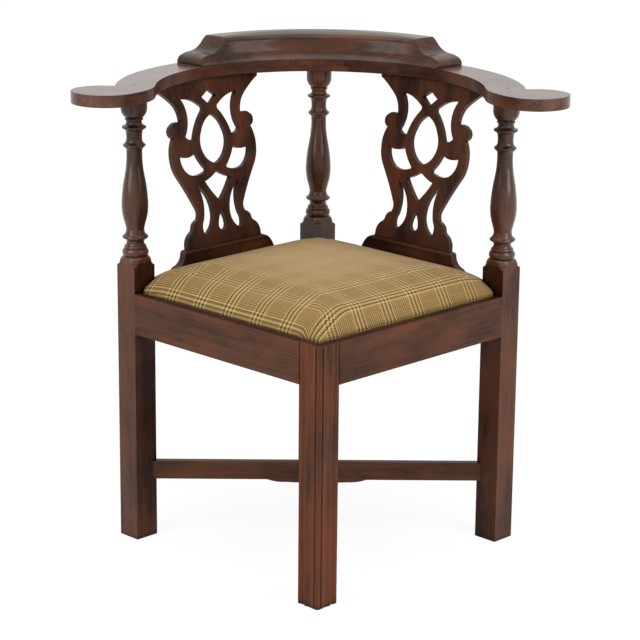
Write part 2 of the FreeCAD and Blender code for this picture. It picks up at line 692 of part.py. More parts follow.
def make_screws():
    screws = []
    for bearing in CORNERS.values():
        turn = Rotation(UP, bearing - 45)
        tip_reach = plain(rail_inner) + 12.5
        length = tip_reach - BLOCK_SCREW_SEAT + BLOCK_SCREW_HEAD
        for tip, way in ((Vector(tip_reach, BLOCK_SCREW_ALONG, BLOCK_SCREW_HEIGHT), Vector(1, 0, 0)),
                         (Vector(BLOCK_SCREW_ALONG, tip_reach, BLOCK_SCREW_HEIGHT), Vector(0, 1, 0))):
            screws.append(make_screw(turn.multVec(tip), turn.multVec(way), length,
                                     BLOCK_SCREW_HEAD_RADIUS, BLOCK_SCREW_HEAD))
    make_group("corner_block_screws", screws)

    low = plain(arm_underside)
    bottom = low + plain(arm_thickness)
    screws = []
    for angle in CREST_SCREW_ANGLES:
        for sign in (-1, 1):
            x, y = crest_screw_point(sign * angle)
            tip = Vector(x, y, bottom + CREST_SCREW_BITE - 0.5)
            screws.append(make_screw(tip, UP, tip.z - low, CREST_SCREW_HEAD_RADIUS, CREST_SCREW_HEAD))
    make_group("crest_screws", screws)

    screws = []
    plugs = []
    for sign in (-1, 1):
        x = sign * plain(leg_radius)
        top = bottom - PLUG_LENGTH
        tip = Vector(x, 0, low + plain(cell("side_pin_length")) - 24)
        screws.append(make_screw(tip, -UP, top - tip.z, PLUG_RADIUS - 0.1, ARM_SCREW_HEAD))
        plugs.append(Part.makeCylinder(PLUG_RADIUS, PLUG_LENGTH, Vector(x, 0, top)))
    make_group("arm_screws", screws)
    make_group("arm_plugs", plugs)


# Drop-in seat. Everything is drawn with the chair's sides along X and Y, the front corner
# towards minus X and minus Y, and turned as a whole by the eighth of a circle.

SEAT_TURN = 45


def make_seat_rail(side, along_y, sign):
    """A seat frame rail, halved over its neighbours. Those along Y keep their upper half."""
    body = make_body(side + "_seat_rail")
    notch = cell("seat_notch") - 1
    outside = cell("seat_half") - 1.5
    inside = outside - cell("seat_rail_width")
    low = cell("seat_underside") + cell("hem_thickness")
    front_end = -outside if sign < 0 else -notch
    strip = (inside, front_end, outside, notch)
    if sign < 0:
        strip = (-outside, front_end, -inside, notch)
    strip = rectangle(*strip) if along_y else rectangle(strip[1], strip[0], strip[3], strip[2])
    depth = cell("seat_rail_depth")
    add(body, "Pad", make_sketch(body, "XY_Plane", strip, offset=low), depth)
    far_lap = (inside, notch + 1)
    near_lap = (-outside - 1, -inside) if sign < 0 else (-notch - 1, -inside)
    laps = []
    for start, end in (far_lap, near_lap):
        wide = (inside - 1, outside + 1) if sign > 0 else (-outside - 1, -inside + 1)
        corners = (wide[0], start, wide[1], end) if along_y else (start, wide[0], end, wide[1])
        laps.append(rectangle(*corners))
    lap_top = low + depth * 0.5 if along_y else low + depth
    add(body, "Pocket", make_sketch(body, "XY_Plane", *laps, offset=lap_top), depth * 0.5)
    holes = []
    for step in TACK_STEPS:
        x, y = TACK_DISTANCE * sign, step
        x, y = (x, y) if along_y else (y, x)
        holes.append([("circle", x, y, TACK_HOLE_RADIUS)])
    add(body, "Pocket", make_sketch(body, "XY_Plane", *holes, offset=low), 8.5, backwards=True)
    place(body, SEAT_TURN)


def crowned_pad(half, low, edge_height, crown_height):
    """A square cushion: upright sides, and a top that rises steeply from them to a low crown."""
    rise = crown_height - edge_height
    rows = []
    for row in range(PAD_STEPS + 1):
        across = math.sin(math.pi * (row / PAD_STEPS - 0.5))
        points = []
        for column in range(PAD_STEPS + 1):
            along = math.sin(math.pi * (column / PAD_STEPS - 0.5))
            fullness = (1 - abs(across) ** PAD_POWER) * (1 - abs(along) ** PAD_POWER)
            points.append(Vector(across * half, along * half, edge_height + rise * fullness))
        rows.append(points)
    surface = Part.BSplineSurface()
    surface.interpolate(rows)
    foot = [Vector(x * half, y * half, low) for x, y in ((1, -1), (1, 1), (-1, 1), (-1, -1))]
    head = [Vector(corner.x, corner.y, edge_height) for corner in foot]
    faces = [surface.toShape(), Part.Face(Part.makePolygon(foot + foot[:1]))]
    for start in range(4):
        end = (start + 1) % 4
        side = [foot[start], foot[end], head[end], head[start], foot[start]]
        faces.append(Part.Face(Part.makePolygon(side)))
    shell = Part.makeShell(faces)
    shell.sewShape()
    pad = Part.makeSolid(shell)
    return pad if pad.Volume > 0 else pad.reversed()


def notch_boxes(notch, low):
    """Room for the three leg blocks, at every corner but the front one."""
    boxes = []
    for x_sign, y_sign in ((1, 1), (-1, 1), (1, -1)):
        corner = Vector(notch if x_sign > 0 else -notch - 60, notch if y_sign > 0 else -notch - 60, low)
        boxes.append(Part.makeBox(60, 60, 120, corner))
    return boxes


def seat_tack_points():
    points = []
    for sign in (-1, 1):
        for step in TACK_STEPS:
            points += [(TACK_DISTANCE * sign, step), (step, TACK_DISTANCE * sign)]
    return points


def make_seat_upholstery():
    half = plain(cell("seat_half"))
    notch = plain(cell("seat_notch"))
    low = plain(cell("seat_underside"))
    hem = plain(cell("hem_thickness"))
    skin = plain(cell("cover_thickness"))
    edge = plain(cell("seat_edge_height"))
    crown = plain(cell("seat_crown_height"))
    turn = Rotation(UP, SEAT_TURN)

    def turned(label, shape):
        item = make_group(label, shape.Solids)
        item.Placement = FreeCAD.Placement(Vector(0, 0, 0), turn)

    shanks = [Part.makeCylinder(TACK_HOLE_RADIUS, 12, Vector(x, y, low - 2)) for x, y in seat_tack_points()]
    outside = crowned_pad(half, low, edge, crown).cut(notch_boxes(notch, low - 1))
    inside = crowned_pad(half - 1.5, low + hem, edge - skin, crown - skin)
    inside = inside.cut(notch_boxes(notch - 1, low - 1))
    opening_half = half - plain(cell("hem_width"))
    opening_corner = Vector(-opening_half, -opening_half, low - 1)
    opening = Part.makeBox(2 * opening_half, 2 * opening_half, 10, opening_corner)
    cover = outside.cut(inside).cut(opening).cut(shanks)
    if cover.Volume > outside.Volume * 0.3:
        raise ValueError("the seat cover is not hollow")
    turned("seat_cover", cover)

    frame_top = low + hem + plain(cell("seat_rail_depth"))
    strap = plain(cell("webbing_thickness"))
    filling_low = frame_top + 2 * strap
    below = Part.makeBox(600, 600, filling_low, Vector(-300, -300, 0))
    turned("seat_stuffing", inside.cut(below))

    width = plain(cell("webbing_width"))
    reach = half - 17
    straps = []
    for row in (-1, 0, 1):
        edge_of_strap = row * WEBBING_PITCH - width / 2
        straps.append(Part.makeBox(2 * reach, width, strap, Vector(-reach, edge_of_strap, frame_top)))
        straps.append(Part.makeBox(width, 2 * reach, strap, Vector(edge_of_strap, -reach, frame_top + strap)))
    turned("webbing", Part.makeCompound(straps))

    cloth_half = plain(cell("dust_cloth_half"))
    cloth = plain(cell("dust_cloth_thickness"))
    cloth_corner = Vector(-cloth_half, -cloth_half, low - cloth)
    sheet_box = Part.makeBox(2 * cloth_half, 2 * cloth_half, cloth, cloth_corner)
    turned("dust_cloth", sheet_box.cut(shanks))

    shank = plain(cell("tack_shank_radius"))
    tacks = []
    for x, y in seat_tack_points():
        head = Part.makeCylinder(3.0, 0.9, Vector(x, y, low - cloth - 0.9))
        tacks.append(head.fuse(Part.makeCylinder(shank, 8.5, Vector(x, y, low - cloth))))
    turned("cover_tacks", Part.makeCompound(tacks))


# Places and sizes that several pieces share.

FOOT_TONGUE_HALF = 78.0
FOOT_TONGUE_FRONT = 217.4
HEAD_TONGUE_HALF = 104.0
HEAD_TONGUE_FRONT = 261.0
BLOCK_SCREW_ALONG = 140.0
BLOCK_SCREW_HEIGHT = 379.0
BLOCK_SCREW_SEAT = 185.0
BLOCK_SCREW_SINK_RADIUS = 4.5
BLOCK_SCREW_HEAD_RADIUS = 4.0
BLOCK_SCREW_HEAD = 2.4
CREST_SCREW_RADIUS = 298.0
CREST_SCREW_ANGLES = (15.0, 38.0)
CREST_SCREW_HEAD_RADIUS = 4.2
CREST_SCREW_HEAD = 3.0
CREST_SCREW_BITE = 17.0
PLUG_RADIUS = 3.4
PLUG_LENGTH = 3.6
ARM_SCREW_HEAD = 2.5
TACK_DISTANCE = plain(cell("tack_distance"))
TACK_STEPS = (-150, -100, -50, 0, 50, 100, 150)
TACK_HOLE_RADIUS = plain(cell("tack_shank_radius")) + 0.05
WEBBING_PITCH = 92.0
PAD_POWER = 8
PAD_STEPS = 24


make_front_leg()
for corner_name in ("left", "right", "back"):
    make_turned_leg(corner_name)
for side_name in SIDES:
    make_rail(side_name)
for hand in ("left", "right"):
    make_shoe(hand)
    make_splat(hand)
    make_arm(hand)
make_crest()
make_stretcher("side_stretcher", 0, lap_low=False)
make_stretcher("front_back_stretcher", 90, lap_low=True)
for corner_name in CORNERS:
    make_corner_block(corner_name)
make_screws()
make_seat_rail("back_right", True, 1)
make_seat_rail("front_left", True, -1)
make_seat_rail("back_left", False, 1)
make_seat_rail("front_right", False, -1)
make_seat_upholstery()

doc.recompute()
for item in doc.Objects:
    if "Invalid" in item.State or "Error" in item.State:
        raise ValueError(f"{item.Label} failed: {item.State}")

pieces = [item for item in doc.Objects
          if item.TypeId == "PartDesign::Body" or (item.TypeId == "Part::Feature")]
for piece in pieces:
    if piece.Shape.isNull() or not piece.Shape.isValid() or not piece.Shape.Solids:
        raise ValueError(f"{piece.Label} has no valid shape")

os.makedirs("parts", exist_ok=True)
for piece in pieces:
    piece.Shape.exportStep(f"parts/{piece.Label}.step")
print(len(pieces), "pieces written")
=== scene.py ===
import math

import bmesh
import bpy
import numpy as np
from mathutils import Matrix, Vector


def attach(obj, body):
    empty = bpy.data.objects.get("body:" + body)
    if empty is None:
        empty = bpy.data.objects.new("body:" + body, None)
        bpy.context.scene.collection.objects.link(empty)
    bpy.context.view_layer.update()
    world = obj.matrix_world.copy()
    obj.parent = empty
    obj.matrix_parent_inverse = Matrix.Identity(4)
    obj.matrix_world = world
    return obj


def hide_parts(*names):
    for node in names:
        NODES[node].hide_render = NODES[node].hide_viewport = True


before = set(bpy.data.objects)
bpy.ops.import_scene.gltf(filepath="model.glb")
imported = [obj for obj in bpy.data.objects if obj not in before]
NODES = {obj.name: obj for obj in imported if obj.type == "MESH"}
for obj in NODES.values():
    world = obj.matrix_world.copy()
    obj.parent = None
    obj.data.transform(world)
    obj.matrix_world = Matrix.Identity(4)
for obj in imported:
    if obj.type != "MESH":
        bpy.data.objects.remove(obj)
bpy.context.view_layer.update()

# A corner chair. Z is up, X is to the viewer's right, Y is to the back, lengths are metres.
SCENE = bpy.context.scene

# Camera: the photograph's place and direction.
CAMERA_PLACE = Vector((-0.0311, -3.5280, 1.3530))
CAMERA_YAW = -0.551
CAMERA_PITCH = 15.678
CAMERA_ROLL = 0.577
CAMERA_LENS = 129.86

# Drop-in seat, drawn with its sides along X and Y and its front corner at minus X, minus Y:
# half its width before and after it swells, and the heights of its edge, crown and hem.
SEAT_TURN = math.radians(45)
SEAT_HALF = 0.2093
SEAT_WIDEST = 0.2098
SEAT_EDGE = 0.4148
SEAT_CROWN = 0.4515
HEM_HEIGHT = 0.3996

# How square the crown falls off to a side, what is added to that in the middle of a front side
# and at the front corner, and how square the front corner is in plan.
SEAT_POWER = 8
MIDDLE_POWER = 1.5
FRONT_POWER = 2
CORNER_POWER = 14

# Notches for the leg blocks: their place, how they are rounded, and how deep and how far the
# top dips beside them. The front corner has no notch, only a small round.
NOTCH = 0.1822
NOTCH_ROUND = 0.004
NOTCH_DIP = 0.005
NOTCH_DIP_REACH = 0.008
FRONT_ROUND = 0.001

# How far the flat cloth is drawn over the two front sides, and what is added near the left one.
CLOTH_SHIFT = (0.016, 0.019)
LEFT_PULL = 0.008

# Cells from the cushion's middle to a side, the share of that from which its plan follows the
# rim, and the width of the band inside the rim that is held more and more when it swells.
GRID = 56
RIM_FROM = 0.72
HELD_BAND = 8

# Seat webbing: distance of the straps, their size, where they meet the seat frame, its top, and
# how far above that a strap lies under and over another.
STRAP_PITCH = 0.092
STRAP_WIDTH = 0.050
STRAP_REACH = 0.1925
STRAP_THICKNESS = 0.0011
STRAP_LANDING = 0.16
FRAME_TOP = 0.4141
STRAP_LIFTS = (0.0001, 0.0012)

# Dust cloth: half its width, its height at the nails, how far it sags in the middle, and the
# depth and number of its small scallops between the nails.
DUST_CLOTH_HALF = 0.180
DUST_CLOTH_HEIGHT = 0.39925
DUST_CLOTH_SAG = 0.0035
SCALLOP_DEPTH = 0.0002
SCALLOP_COUNT = 3.6

# Heights at which painted shade and the wood's tone change: top of the rails and the leg blocks
# beside the seat (middle and half of that zone), both shaded by the cushion, start of the darker
# turned parts, and feet of the splats, shaded towards the seat.
RAIL_TOP = 0.411
BESIDE_SEAT = (0.434, 0.024)
TURNED_FROM = (0.452, 0.466)
SPLAT_FOOT = (0.46, 0.57)

# Tints that wood is multiplied by: none, painted shade on faces that look into the chair, and
# painted shade on rail tops under the cushion's edge.
WHITE = (1.0, 1.0, 1.0, 1.0)
INNER_SHADE_TINT = (0.6, 0.4, 0.32, 1.0)
RAIL_TOP_SHADE_TINT = (0.36, 0.25, 0.17, 1.0)

# Check: width of a yarn, yarns in a repeat and in its bold band, and where a repeat starts.
YARN = 0.000975
REPEAT = 64
BAND = 28
CHECK_START = (0.0070 - 14 * YARN, -0.0099 - 14 * YARN)


def tone(red, green, blue):
    """A colour given by its 8-bit sRGB values."""
    parts = [value / 255 for value in (red, green, blue)]
    linear = [p / 12.92 if p <= 0.04045 else ((p + 0.055) / 1.055) ** 2.4 for p in parts]
    return (*linear, 1.0)


# Stage

def make_camera():
    yaw, pitch, roll = (math.radians(a) for a in (CAMERA_YAW, CAMERA_PITCH, CAMERA_ROLL))
    level = Vector((-math.sin(yaw), math.cos(yaw), 0))
    forward = level * math.cos(pitch) - Vector((0, 0, math.sin(pitch)))
    right = Vector((math.cos(yaw), math.sin(yaw), 0))
    up = right.cross(forward)
    rolled_right = right * math.cos(roll) + up * math.sin(roll)
    rolled_up = up * math.cos(roll) - right * math.sin(roll)
    turn = Matrix((rolled_right, rolled_up, -forward)).transposed()
    camera = bpy.data.objects.new("camera", bpy.data.cameras.new("camera"))
    SCENE.collection.objects.link(camera)
    camera.matrix_world = Matrix.Translation(CAMERA_PLACE) @ turn.to_4x4()
    camera.data.sensor_width = 36
    camera.data.lens = CAMERA_LENS
    SCENE.camera = camera


def make_light(name, place, size, power, aim):
    data = bpy.data.lights.new(name, "AREA")
    data.shape = "RECTANGLE"
    data.size, data.size_y = size
    data.energy = power
    light = bpy.data.objects.new(name, data)
    SCENE.collection.objects.link(light)
    light.visible_camera = False
    light.location = place
    light.rotation_euler = (Vector(aim) - Vector(place)).to_track_quat("-Z", "Y").to_euler()


def make_sky_light(name, strength, spread):
    """Even light from straight above, as from a wide ceiling panel."""
    data = bpy.data.lights.new(name, "SUN")
    data.energy = strength
    data.angle = math.radians(spread)
    SCENE.collection.objects.link(bpy.data.objects.new(name, data))


def seen_directly(tree):
    """1 for rays from the camera, and for those that a shiny or clear surface sends on."""
    path = tree.nodes.new("ShaderNodeLightPath")
    seen = path.outputs["Is Camera Ray"]
    for name in ("Is Glossy Ray", "Is Transmission Ray"):
        either = tree.nodes.new("ShaderNodeMath")
        either.operation = "MAXIMUM"
        tree.links.new(seen, either.inputs[0])
        tree.links.new(path.outputs[name], either.inputs[1])
        seen = either.outputs[0]
    return seen


def make_world():
    world = bpy.data.worlds.new("studio")
    SCENE.world = world
    world.use_nodes = True
    tree = world.node_tree
    lighting = tree.nodes["Background"]
    lighting.inputs["Strength"].default_value = 0.16
    lighting.inputs["Color"].default_value = (1, 1, 1, 1)
    backdrop = tree.nodes.new("ShaderNodeBackground")
    backdrop.inputs["Color"].default_value = (1, 1, 1, 1)
    mix = tree.nodes.new("ShaderNodeMixShader")
    tree.links.new(seen_directly(tree), mix.inputs[0])
    tree.links.new(lighting.outputs[0], mix.inputs[1])
    tree.links.new(backdrop.outputs[0], mix.inputs[2])
    tree.links.new(mix.outputs[0], tree.nodes["World Output"].inputs["Surface"])


def make_floor():
    mesh = bpy.data.meshes.new("floor")
    half = 9.0
    corners = [(-half, -half, 0), (half, -half, 0), (half, half, 0), (-half, half, 0)]
    mesh.from_pydata(corners, [], [(0, 1, 2, 3)])
    floor = bpy.data.objects.new("floor", mesh)
    SCENE.collection.objects.link(floor)
    material = bpy.data.materials.new("floor")
    material.use_nodes = True
    tree = material.node_tree
    matt = tree.nodes["Principled BSDF"]
    matt.inputs["Base Color"].default_value = (0.86, 0.86, 0.86, 1)
    matt.inputs["Roughness"].default_value = 0.9
    glow = tree.nodes.new("ShaderNodeEmission")
    share = tree.nodes.new("ShaderNodeMath")
    share.operation = "MULTIPLY"
    tree.links.new(seen_directly(tree), share.inputs[0])
    share.inputs[1].default_value = 0.8
    glow.inputs["Strength"].default_value = 1.12
    mix = tree.nodes.new("ShaderNodeMixShader")
    tree.links.new(share.outputs[0], mix.inputs[0])
    tree.links.new(matt.outputs[0], mix.inputs[1])
    tree.links.new(glow.outputs[0], mix.inputs[2])
    tree.links.new(mix.outputs[0], tree.nodes["Material Output"].inputs["Surface"])
    mesh.materials.append(material)


def make_lights():
    make_sky_light("ceiling", 1.45, 60)
    make_light("left_panel", (-1.0, -0.72, 1.05), (0.7, 1.1), 7.5, (-0.1, -0.1, 0.35))
    make_light("right_panel", (1.0, -0.72, 1.05), (0.7, 1.1), 8.5, (0.1, -0.1, 0.35))


# Materials

class Shader:
    """A node material, built one node at a time."""

    def __init__(self, name):
        self.material = bpy.data.materials.new(name)
        self.material.use_nodes = True
        self.tree = self.material.node_tree
        self.surface = self.tree.nodes["Principled BSDF"]

    def feed(self, socket, value):
        if isinstance(value, bpy.types.NodeSocket):
            self.tree.links.new(value, socket)
        else:
            socket.default_value = value

    def finish(self, **sockets):
        for name, value in sockets.items():
            self.feed(self.surface.inputs[name.replace("_", " ")], value)
        return self.material

    def node(self, kind, output, inputs, **settings):
        made = self.tree.nodes.new("ShaderNode" + kind)
        for key, value in settings.items():
            setattr(made, key, value)
        for key, value in inputs.items():
            self.feed(made.inputs[key], value)
        return made.outputs[output]

    def place(self):
        return self.node("TexCoord", "Object", {})

    def height(self):
        return self.vector("DOT_PRODUCT", self.place(), (0.0, 0.0, 1.0))

    def math(self, operation, a, b=0.0):
        return self.node("Math", 0, {0: a, 1: b}, operation=operation)

    def times(self, a, b):
        return self.math("MULTIPLY", a, b)

    def plus(self, a, b):
        return self.math("ADD", a, b)

    def vector(self, operation, a, b=(0.0, 0.0, 0.0)):
        output = "Value" if operation == "DOT_PRODUCT" else "Vector"
        return self.node("VectorMath", output, {0: a, 1: b}, operation=operation)

    def scaled(self, vector, factor):
        return self.node("VectorMath", "Vector", {0: vector, "Scale": factor}, operation="SCALE")

    def noise(self, place, scale, detail=3.0, roughness=0.55, distortion=0.0):
        return self.node("TexNoise", 0, {"Vector": place, "Scale": scale, "Detail": detail,
                                         "Roughness": roughness, "Distortion": distortion})

    def span(self, value, low, high, to_low=0.0, to_high=1.0):
        """The value's place between low and high, held inside them."""
        return self.node("MapRange", 0, {0: value, 1: low, 2: high, 3: to_low, 4: to_high})

    def mix(self, factor, a, b, blend="MIX"):
        return self.node("Mix", 2, {0: factor, 6: a, 7: b}, data_type="RGBA", blend_type=blend)

    def darker(self, colour, factor):
        """The colour times a plain number."""
        grey = self.node("CombineColor", 0, {0: factor, 1: factor, 2: factor})
        return self.mix(1.0, colour, grey, "MULTIPLY")

    def ramp(self, value, stops, steps=False):
        made = self.tree.nodes.new("ShaderNodeValToRGB")
        ramp = made.color_ramp
        ramp.interpolation = "CONSTANT" if steps else "LINEAR"
        while len(ramp.elements) < len(stops):
            ramp.elements.new(1.0)
        for element, (position, colour) in zip(ramp.elements, stops):
            element.position = position
            element.color = colour
        self.feed(made.inputs[0], value)
        return made.outputs[0]

    def closeness(self, distance, inside=False):
        """1 on an open face, less where other faces are near; inside, less at outer edges."""
        return self.node("AmbientOcclusion", "AO", {"Distance": distance}, samples=6,
                         inside=inside, only_local=inside)

    def bump(self, height, depth, normal=None):
        inputs = {"Height": height, "Distance": depth, "Strength": 1.0}
        if normal is not None:
            inputs["Normal"] = normal
        return self.node("Bump", 0, inputs)


def grain_place(shader, grain, seed, share):
    """Coordinates drawn out along the grain: share is what is left of a length that way."""
    moved = shader.vector("ADD", shader.place(), (seed * 1.37, seed * 0.71, seed * 2.13))
    along = shader.vector("DOT_PRODUCT", moved, grain)
    return shader.vector("SUBTRACT", moved, shader.scaled(grain, shader.times(along, 1 - share)))


def outward_share(shader):
    """0 on faces that look into the chair, 1 on those that look out of it."""
    place = shader.vector("MULTIPLY", shader.place(), (1.0, 1.0, 0.0))
    out = shader.node("VectorMath", "Vector", {0: place}, operation="NORMALIZE")
    face = shader.node("NewGeometry", "Normal", {})
    return shader.span(shader.vector("DOT_PRODUCT", out, face), -0.5, 0.5)


def make_polished_wood(name, grain, seed, light=1.0, red=0.5, polish=0.3, inner_shade=1.0, stain=0.8,
                       painted_shade_at=None, ruddy_from=0.5):
    """Old polished mahogany: streaks and pores along the grain, paler patches, and painted shade,
    with grime, in its corners and grooves.

    light and polish scale its tone and its gloss. inner_shade is how far it dulls, and darkens with
    painted shade, on faces that look into the chair, and stain what is left of the tone in dark
    patches. red is the strength of ruddy patches, which start at ruddy_from of a noise.
    painted_shade_at is a place
    where more shade is painted: the "top" of a rail under the cushion's edge, the "foot" of a splat
    near the seat, or the "block" of a leg beside the seat.
    """
    shader = Shader(name)
    streaks = shader.noise(grain_place(shader, grain, seed, 0.03), 210, 5, 0.62)
    figure = shader.noise(grain_place(shader, grain, seed + 3, 0.12), 22, 3, 0.6, 0.4)
    patches = shader.noise(grain_place(shader, grain, seed + 5, 0.4), 17, 4, 0.62)
    pores = shader.noise(grain_place(shader, grain, seed + 8, 0.05), 1100, 2, 0.5)
    blend = shader.plus(shader.times(streaks, 0.65), shader.times(figure, 0.35))
    colour = shader.ramp(blend, [(0.34, tone(62, 37, 26)), (0.47, tone(82, 51, 36)),
                                 (0.55, tone(92, 58, 41)), (0.68, tone(110, 70, 49))])
    ruddy = shader.times(shader.span(patches, ruddy_from, 0.74), red)
    colour = shader.mix(ruddy, colour, tone(106, 44, 22))
    colour = shader.darker(colour, shader.span(pores, 0.3, 0.46, 0.72 * light, light))
    share = outward_share(shader)
    # Painted shade: faces that look into the chair are darkened by the inner shade tint.
    inner_shade_share = shader.span(share, 0.0, 0.7, inner_shade, 0.0)
    colour = shader.mix(1.0, colour, shader.mix(inner_shade_share, WHITE, INNER_SHADE_TINT), "MULTIPLY")
    pale = shader.times(shader.span(shader.closeness(0.0022, True), 0.3, 0.8),
                        shader.span(patches, 0.4, 0.65))
    colour = shader.mix(shader.times(pale, 0.35), colour, tone(136, 84, 54))
    # Painted shade, with grime, where other faces are near: in corners, between parts and in fine
    # grooves.
    colour = shader.darker(colour, shader.span(shader.closeness(0.012), 0.3, 0.92, 0.3, 1.0))
    colour = shader.darker(colour, shader.span(shader.closeness(0.004), 0.45, 0.9, 0.2, 1.0))
    colour = shader.darker(colour, shader.span(patches, 0.36, 0.5, stain, 1.0))
    unshaded = 1.0
    # Painted shade on the rail's top, in the gap under the cushion's edge; the coat is dulled there
    # too.
    if painted_shade_at == "top":
        unshaded = shader.span(shader.height(), RAIL_TOP - 0.0008, RAIL_TOP - 0.0001, 1.0, 0.0)
        colour = shader.mix(1.0, colour, shader.mix(unshaded, RAIL_TOP_SHADE_TINT, WHITE), "MULTIPLY")
    # Painted shade on the splat, darker towards its foot near the seat.
    if painted_shade_at == "foot":
        colour = shader.darker(colour, shader.span(shader.height(), *SPLAT_FOOT, 0.58, 1.0))
    # Painted shade on the inner faces of a leg's block beside the seat. The turned part above is
    # darker in tone, and the block below it less glossy.
    if painted_shade_at == "block":
        middle, half = BESIDE_SEAT
        above = shader.math("ABSOLUTE", shader.plus(shader.height(), -middle))
        near_seat = shader.math("LESS_THAN", above, half)
        unshaded = shader.math("SUBTRACT", 1.0, shader.times(near_seat, inner_shade_share))
        colour = shader.darker(colour, shader.span(unshaded, 0.5, 1.0, 0.42, 1.0))
        turned_part = shader.span(shader.height(), *TURNED_FROM)
        colour = shader.darker(colour, shader.span(turned_part, 0.0, 1.0, 0.94, 0.72))
        unshaded = shader.times(unshaded, shader.span(turned_part, 0.0, 1.0, 0.4, 1.0))
    rough = shader.span(blend, 0.35, 0.65, 0.5 - polish * 0.3, 0.62 - polish * 0.3)
    rounded = shader.node("Bevel", 0, {"Radius": 0.0011}, samples=4)
    waves = shader.noise(grain_place(shader, grain, seed + 11, 0.3), 45, 2)
    normal = shader.bump(waves, 0.0003, rounded)
    normal = shader.bump(shader.span(pores, 0.3, 0.5), 0.00004, normal)
    gloss = shader.times(shader.span(share, 0.1, 0.5, 1.0 - inner_shade, 1.0), unshaded)
    gloss = shader.times(gloss, shader.span(blend, 0.4, 0.6, 0.7 * polish, polish))
    return shader.finish(Base_Color=colour, Roughness=rough, Normal=normal,
                         Specular_IOR_Level=0.08, Coat_Weight=gloss, Coat_Roughness=0.16)


def make_raw_wood(name, grain, seed, pale, dark):
    """Plain unpolished wood with growth lines, and painted shade towards its corners."""
    shader = Shader(name)
    lines = shader.noise(grain_place(shader, grain, seed, 0.03), 220, 4, 0.6)
    figure = shader.noise(grain_place(shader, grain, seed + 2, 0.15), 24, 3)
    blend = shader.plus(shader.times(lines, 0.6), shader.times(figure, 0.4))
    colour = shader.ramp(blend, [(0.34, dark), (0.62, pale)])
    # Painted shade where other faces are near.
    colour = shader.darker(colour, shader.span(shader.closeness(0.012), 0.2, 0.9, 0.45, 1.0))
    normal = shader.bump(lines, 0.00015)
    return shader.finish(Base_Color=colour, Roughness=shader.span(lines, 0.3, 0.7, 0.65, 0.85),
                         Normal=normal, Specular_IOR_Level=0.3)


def make_steel(name, bright, dull):
    """Oxidised steel with turning marks and dull patches."""
    shader = Shader(name)
    place = shader.place()
    stain = shader.noise(place, 420, 4, 0.65)
    marks = shader.noise(place, 2600, 2)
    colour = shader.mix(shader.span(stain, 0.4, 0.62), bright, dull)
    rough = shader.span(stain, 0.35, 0.65, 0.3, 0.6)
    return shader.finish(Base_Color=colour, Roughness=rough,
                         Metallic=shader.span(stain, 0.45, 0.7, 1.0, 0.7),
                         Normal=shader.bump(marks, 0.00003))


def cloth_place(shader):
    """Where a point lies on the flat cloth, in metres each way."""
    place = shader.node("Attribute", "Vector", {}, attribute_name="cloth")
    split = shader.tree.nodes.new("ShaderNodeSeparateXYZ")
    shader.feed(split.inputs[0], place)
    return place, split.outputs[0], split.outputs[1]


def yarn_rows(shader, distance, width):
    """A distance in yarns, its yarn's number, and how near it is to the middle of that yarn."""
    count = shader.math("DIVIDE", distance, width)
    crown = shader.math("SINE", shader.times(shader.math("FRACT", count), math.pi))
    return count, shader.math("FLOOR", count), crown


def weave_crown(shader, on_top, warp_crown, weft_crown):
    """How near a point is to the middle of the yarn that is on top there."""
    below = shader.math("SUBTRACT", 1.0, on_top)
    return shader.plus(shader.times(on_top, warp_crown), shader.times(below, weft_crown))


def check_stops(cream, olive):
    """Colours of one repeat's yarns: a bold band of fours, then a ground of twos."""
    tan, brown, russet = tone(192, 158, 100), tone(122, 98, 50), tone(160, 106, 62)
    stops = [(0, tan), (1, cream)]
    for yarn in range(4, BAND, 4):
        stops.append((yarn, cream if yarn % 8 == 0 else olive))
    stops.append((BAND - 1, brown))
    for yarn in range(BAND + 1, REPEAT, 2):
        colour = tan if (yarn - BAND) % 4 == 1 else brown
        if yarn == (BAND + REPEAT) // 2 + 1:
            colour = russet
        stops.append((yarn, colour))
    return [(yarn / REPEAT, colour) for yarn, colour in stops]


